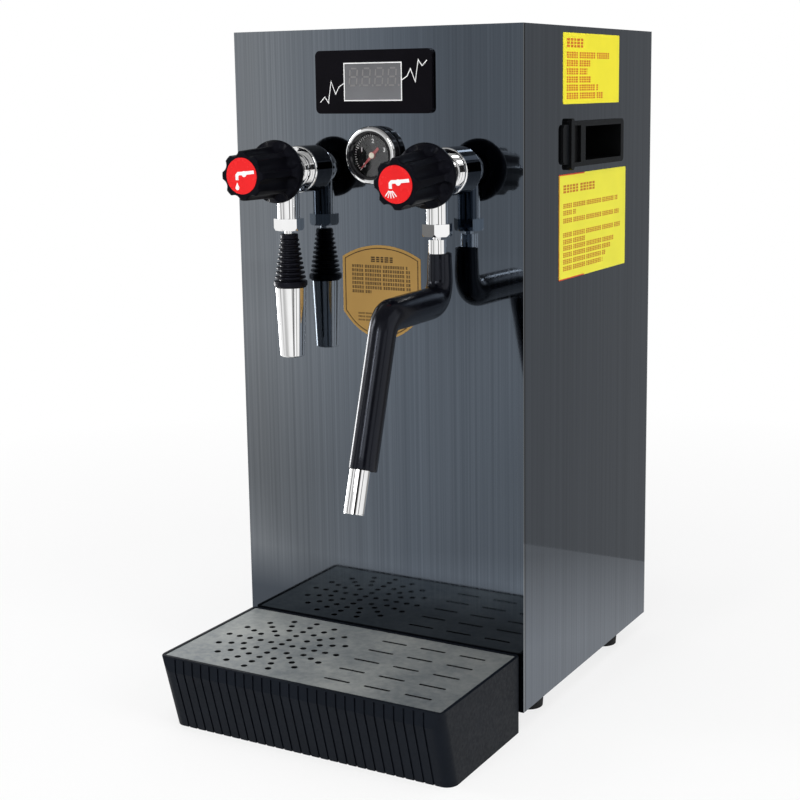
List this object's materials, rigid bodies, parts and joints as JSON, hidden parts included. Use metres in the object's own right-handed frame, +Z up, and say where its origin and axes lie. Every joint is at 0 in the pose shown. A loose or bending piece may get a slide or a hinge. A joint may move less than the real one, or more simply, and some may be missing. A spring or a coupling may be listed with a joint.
{
  "type": "hot water boiler",
  "caption": "Counter-top hot water and steam boiler in a tall sheet-metal case, with two knob taps, a spout, a bent steam wand, a gauge, a display and a drip tray.",
  "frame": {"origin": "centre of the footprint, on the counter", "axes": "+Z up, -Y towards the user in front of the taps, +X to the user's right"},
  "size_m": [0.258, 0.441, 0.53],
  "materials": {
    "case_steel": "dark tinted stainless sheet with a vertical brushed grain and a clear gloss",
    "frame_steel": "plain zinc-coated sheet",
    "fastener_steel": "zinc-plated screws and bolts",
    "foot_rubber": "matte black rubber",
    "boot_rubber": "satin black ribbed rubber",
    "seal_rubber": "black sealing rubber",
    "cup_plastic": "fine-grained black plastic",
    "display_plastic": "gloss black front plate",
    "display_glass": "grey filter window",
    "circuit_board": "green circuit board",
    "gauge_body": "dark painted steel",
    "chrome": "bright chrome plating",
    "dial_black": "black dial with white scale",
    "needle_red": "red painted needle with a pale hub",
    "gauge_glass": "clear flat glass",
    "brass": "turned brass",
    "knob_plastic": "satin black moulded plastic",
    "badge_red": "gloss red insert with white symbols",
    "sleeve_black": "smooth glossy black heat sleeve",
    "tray_plastic": "matte blue-black moulded plastic",
    "grille_steel": "satin stainless sheet with faint marks",
    "tank_steel": "stainless steel",
    "heater_steel": "heater tube steel",
    "probe_ceramic": "ivory insulator with steel rods",
    "copper": "copper pipe",
    "valve_plastic": "pale moulded plastic",
    "pump_paint": "dark blue painted steel",
    "rocker_red": "gloss red rocker"
  },
  "bodies": {
    "case": {"front_panel": "case_steel", "left_side_panel": "case_steel", "right_side_panel": "case_steel", "back_panel": "case_steel", "top_cover": "case_steel", "base_plate": "frame_steel", "boiler_stand": "frame_steel", "foot_bolts": "fastener_steel", "case_screws": "fastener_steel", "lid_bolts": "fastener_steel", "rubber_feet": "foot_rubber", "left_hand_cup": "cup_plastic", "right_hand_cup": "cup_plastic", "cable_gland": "cup_plastic", "switch_frame": "cup_plastic", "display_bezel": "display_plastic", "display_window": "display_glass", "display_board": "circuit_board", "control_board": "circuit_board", "gauge_case": "gauge_body", "gauge_bezel": "chrome", "water_tap_body": "chrome", "steam_tap_body": "chrome", "water_tap_bonnet": "chrome", "steam_tap_bonnet": "chrome", "union_nuts": "chrome", "drain_outlet": "chrome", "gauge_dial": "dial_black", "gauge_glass": "gauge_glass", "tap_locknuts": "brass", "safety_valve": "brass", "water_inlet": "brass", "boiler_tank": "tank_steel", "boiler_lid": "tank_steel", "heating_element": "heater_steel", "level_probes": "probe_ceramic", "water_draw_pipe": "copper", "steam_draw_pipe": "copper", "gauge_pipe": "copper", "inlet_valve": "valve_plastic", "feed_pump": "pump_paint"},
    "water_valve": {"water_valve_plug": "seal_rubber"},
    "water_knob": {"water_knob": "knob_plastic", "water_knob_badge": "badge_red", "water_spindle": "brass"},
    "steam_valve": {"steam_valve_plug": "seal_rubber"},
    "steam_knob": {"steam_knob": "knob_plastic", "steam_knob_badge": "badge_red", "steam_spindle": "brass"},
    "water_spout": {"spout_pipe": "chrome", "spout_boot": "boot_rubber", "spout_nozzle": "chrome"},
    "steam_wand": {"wand_ferrule": "chrome", "wand_pipe": "chrome", "wand_sleeve": "sleeve_black", "wand_tip": "chrome"},
    "gauge_needle": {"gauge_needle": "needle_red"},
    "drip_tray": {"drip_tray": "tray_plastic"},
    "drip_grille": {"drip_grille": "grille_steel"},
    "switch_rocker": {"switch_rocker": "rocker_red"}
  },
  "joints": [
    {"name": "water_valve_lift", "type": "slide", "parent": "case", "child": "water_valve", "axis": [0, -0.9998, -0.0175], "range_m": [0, 0.0012]},
    {"name": "water_knob_turn", "type": "hinge", "parent": "case", "child": "water_knob", "pos_m": [-0.061, -0.08447, 0.425], "axis": [0, -0.9998, -0.0175], "range_deg": [0, 270]},
    {"name": "steam_valve_lift", "type": "slide", "parent": "case", "child": "steam_valve", "axis": [0, -0.9969, -0.0785], "range_m": [0, 0.0012]},
    {"name": "steam_knob_turn", "type": "hinge", "parent": "case", "child": "steam_knob", "pos_m": [0.068, -0.08447, 0.425], "axis": [0, -0.9969, -0.0785], "range_deg": [0, 270]},
    {"name": "water_spout_swivel", "type": "hinge", "parent": "case", "child": "water_spout", "pos_m": [-0.061, -0.08447, 0.38], "axis": [0, 0, 1], "range_deg": [-180, 180]},
    {"name": "steam_wand_swivel", "type": "hinge", "parent": "case", "child": "steam_wand", "pos_m": [0.068, -0.08447, 0.38], "axis": [0, 0, 1], "range_deg": [-77, 61]},
    {"name": "gauge_needle_turn", "type": "hinge", "parent": "case", "child": "gauge_needle", "pos_m": [0.0025, -0.05948, 0.436], "axis": [0, 1, 0], "range_deg": [0, 270], "stiffness_Nm_per_rad": 0.002},
    {"name": "drip_tray_slide", "type": "slide", "parent": "case", "child": "drip_tray", "axis": [0, -1, 0], "range_m": [0, 0.15]},
    {"name": "drip_grille_lift", "type": "slide", "parent": "drip_tray", "child": "drip_grille", "axis": [0, 0, 1], "range_m": [0, 0.06]},
    {"name": "switch_rock", "type": "hinge", "parent": "case", "child": "switch_rocker", "pos_m": [0.07, 0.19153, 0.124], "axis": [1, 0, 0], "range_deg": [-16, 0]}
  ],
  "couplings": [
    {"joint": "water_valve_lift", "follows": "water_knob_turn", "m_per_rad": 0.00025465},
    {"joint": "steam_valve_lift", "follows": "steam_knob_turn", "m_per_rad": 0.00025465}
  ]
}
